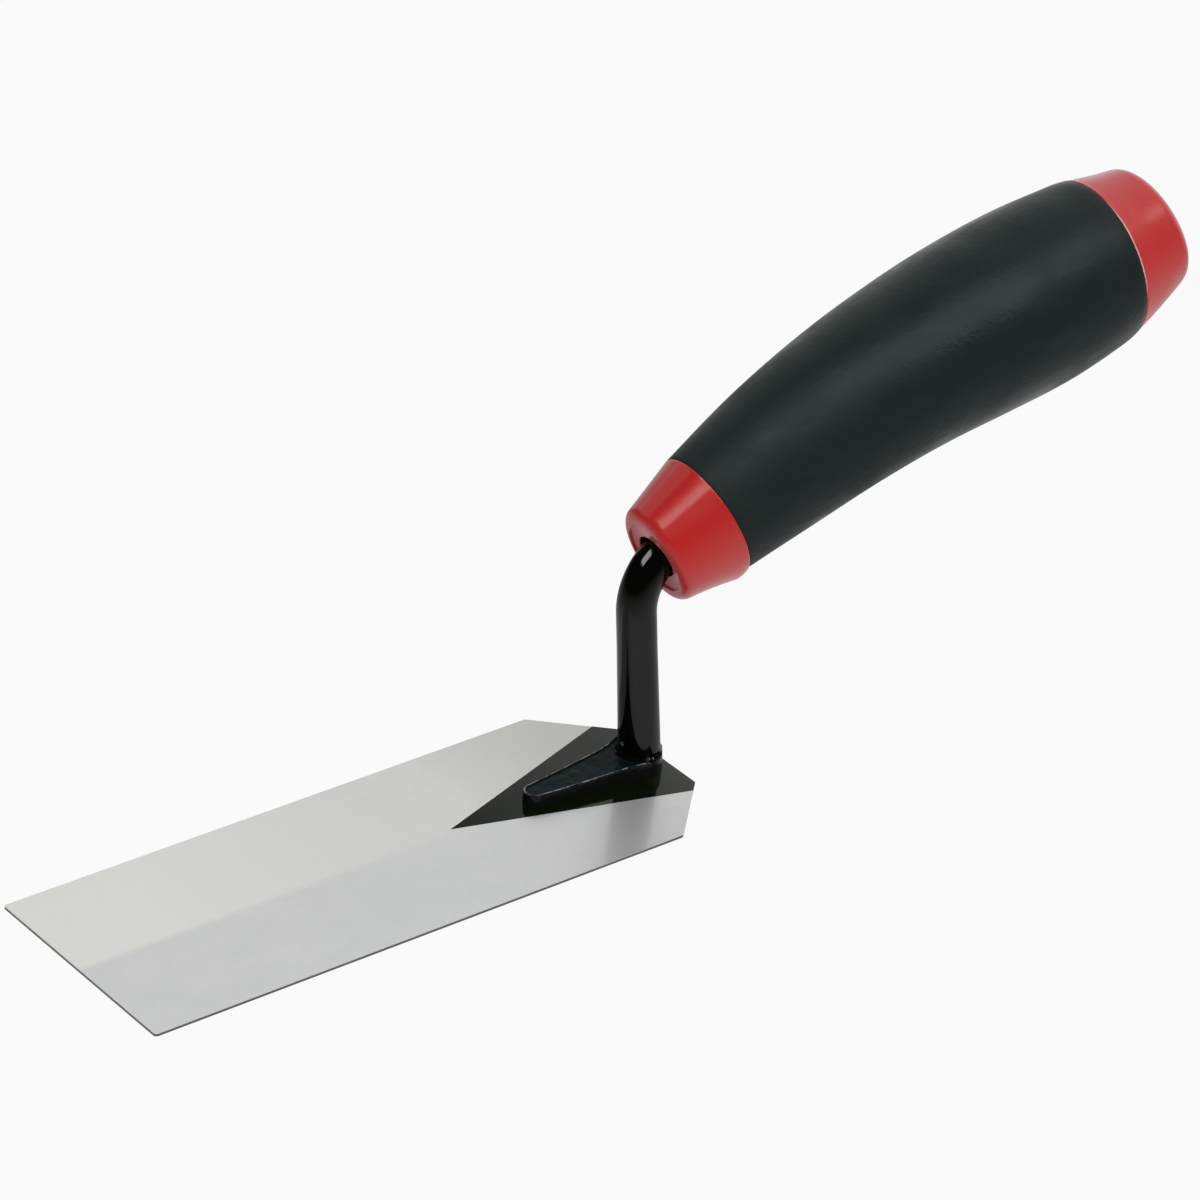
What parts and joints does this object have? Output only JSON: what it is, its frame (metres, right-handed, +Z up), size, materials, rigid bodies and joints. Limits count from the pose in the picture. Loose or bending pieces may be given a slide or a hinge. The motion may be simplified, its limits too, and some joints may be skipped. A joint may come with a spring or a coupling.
{
  "type": "margin trowel",
  "caption": "Hand trowel with a narrow flat steel blade, a bent round shank welded on a wedge foot, and a curved oval two-colour soft-grip handle.",
  "frame": {"origin": "centre of the blade's flat underside, half-way along its length and width", "axes": "+X from the blade's front edge back to the pommel, +Y across the blade, +Z up from the blade towards the handle"},
  "size_m": [0.2622, 0.0508, 0.1002],
  "materials": {
    "blade_steel": "satin ground steel",
    "black_lacquer": "gloss black lacquer",
    "weld_steel": "bare weld metal",
    "red_plastic": "gloss moulded polypropylene",
    "black_grip": "satin soft-touch rubber"
  },
  "bodies": {
    "root": {"blade": "blade_steel", "foot": "black_lacquer", "foot_weld_nuggets": "weld_steel", "shank": "black_lacquer", "shank_weld_bead": "black_lacquer", "handle_core": "red_plastic", "grip_sleeve": "black_grip"}
  },
  "joints": []
}
